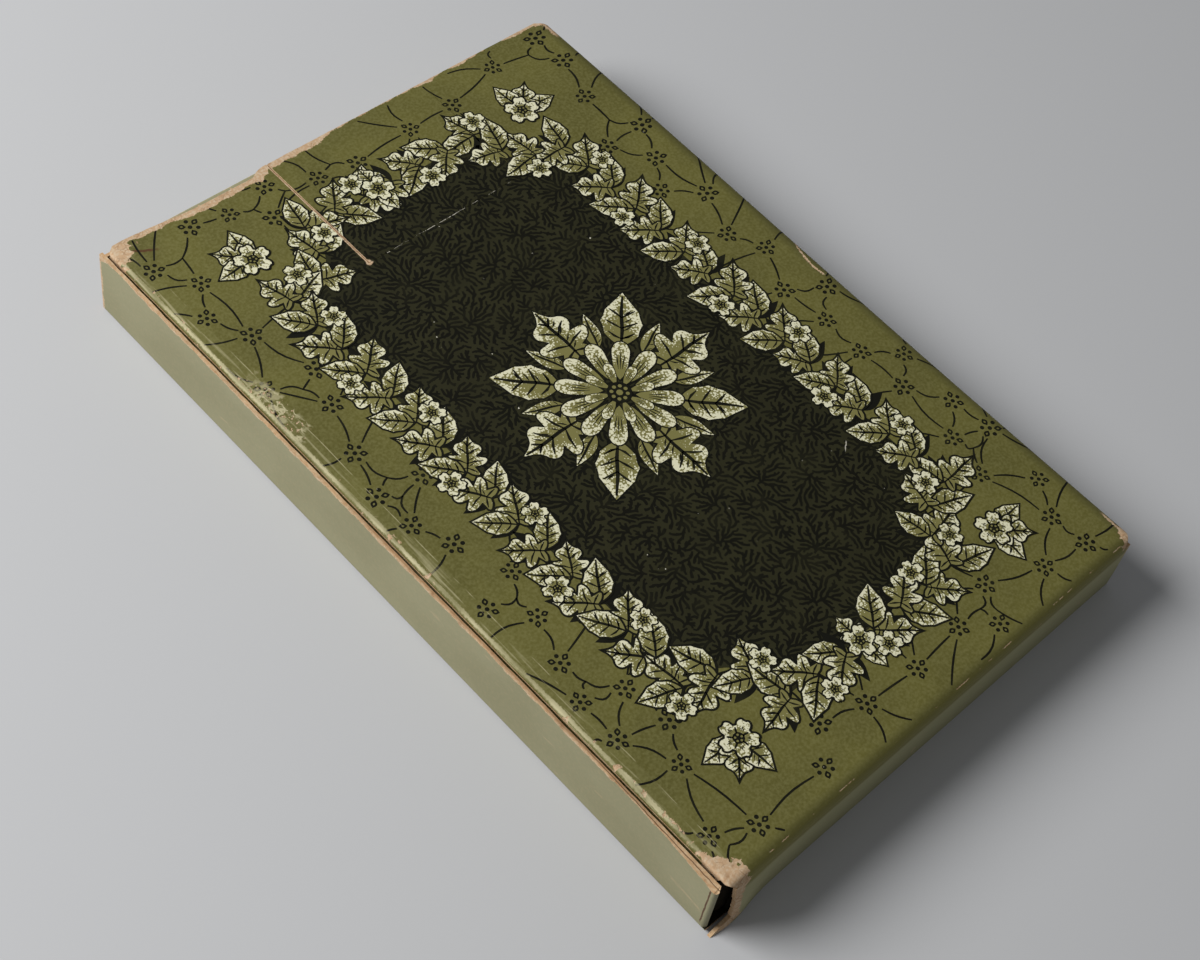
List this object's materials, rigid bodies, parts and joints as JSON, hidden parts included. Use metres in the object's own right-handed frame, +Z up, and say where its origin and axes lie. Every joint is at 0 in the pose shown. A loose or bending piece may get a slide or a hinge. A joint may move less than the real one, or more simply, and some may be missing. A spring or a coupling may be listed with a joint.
{
  "type": "skat card deck",
  "caption": "Deck of skat playing cards in a flat folding carton with a hinged tuck lid, a thumb tongue cut in the printed front and a glued side seam.",
  "frame": {"origin": "middle of the carton's footprint, on the surface it lies on", "axes": "+Z up through the printed front panel, +Y along the length towards the lid at the mouth, +X towards the wall without the glued seam"},
  "size_m": [0.0628, 0.0946, 0.0093],
  "materials": {
    "printed_front": "matt printed board with a rubbed sheen",
    "side_board": "matt printed board, plain colour",
    "flap_board": "bare kraft board inside, printed outside",
    "card_stock": "smooth satin card"
  },
  "bodies": {
    "carton": {"front_panel": "printed_front", "back_panel": "side_board", "left_wall": "side_board", "right_wall": "side_board", "glue_flap": "flap_board", "lid_dust_flap_left": "flap_board", "lid_dust_flap_right": "flap_board", "bottom_outer_panel": "side_board", "bottom_inner_flap": "flap_board", "bottom_dust_flap_left": "flap_board", "bottom_dust_flap_right": "flap_board"},
    "lid": {"lid_panel": "side_board"},
    "tuck_flap": {"tuck_flap": "side_board"},
    "thumb_tongue": {"thumb_tongue": "printed_front"},
    "deck": {"card_01": "card_stock", "card_02": "card_stock", "card_03": "card_stock", "card_04": "card_stock", "card_05": "card_stock", "card_06": "card_stock", "card_07": "card_stock", "card_08": "card_stock", "card_09": "card_stock", "card_10": "card_stock", "card_11": "card_stock", "card_12": "card_stock", "card_13": "card_stock", "card_14": "card_stock", "card_15": "card_stock", "card_16": "card_stock", "card_17": "card_stock", "card_18": "card_stock", "card_19": "card_stock", "card_20": "card_stock", "card_21": "card_stock", "card_22": "card_stock", "card_23": "card_stock", "card_24": "card_stock", "card_25": "card_stock", "card_26": "card_stock", "card_27": "card_stock", "card_28": "card_stock", "card_29": "card_stock", "card_30": "card_stock", "card_31": "card_stock", "card_32": "card_stock"}
  },
  "joints": [
    {"name": "lid_hinge", "type": "hinge", "parent": "carton", "child": "lid", "pos_m": [0, 0.04727, 0], "axis": [-1, 0, 0], "range_deg": [0, 90]},
    {"name": "tuck_flap_crease", "type": "hinge", "parent": "lid", "child": "tuck_flap", "pos_m": [0, 0.04688, 0.00805], "axis": [1, 0, 0], "range_deg": [0, 63]},
    {"name": "thumb_tongue_crease", "type": "hinge", "parent": "carton", "child": "thumb_tongue", "pos_m": [0.0016, 0.02927, 0.0093], "axis": [1, 0, 0], "range_deg": [0, 75]},
    {"name": "deck_slide", "type": "slide", "parent": "carton", "child": "deck", "axis": [0, 1, 0], "range_m": [-0.0002, 0.0003]}
  ],
  "couplings": [
    {"joint": "tuck_flap_crease", "follows": "lid_hinge", "ratio": 0.7}
  ]
}
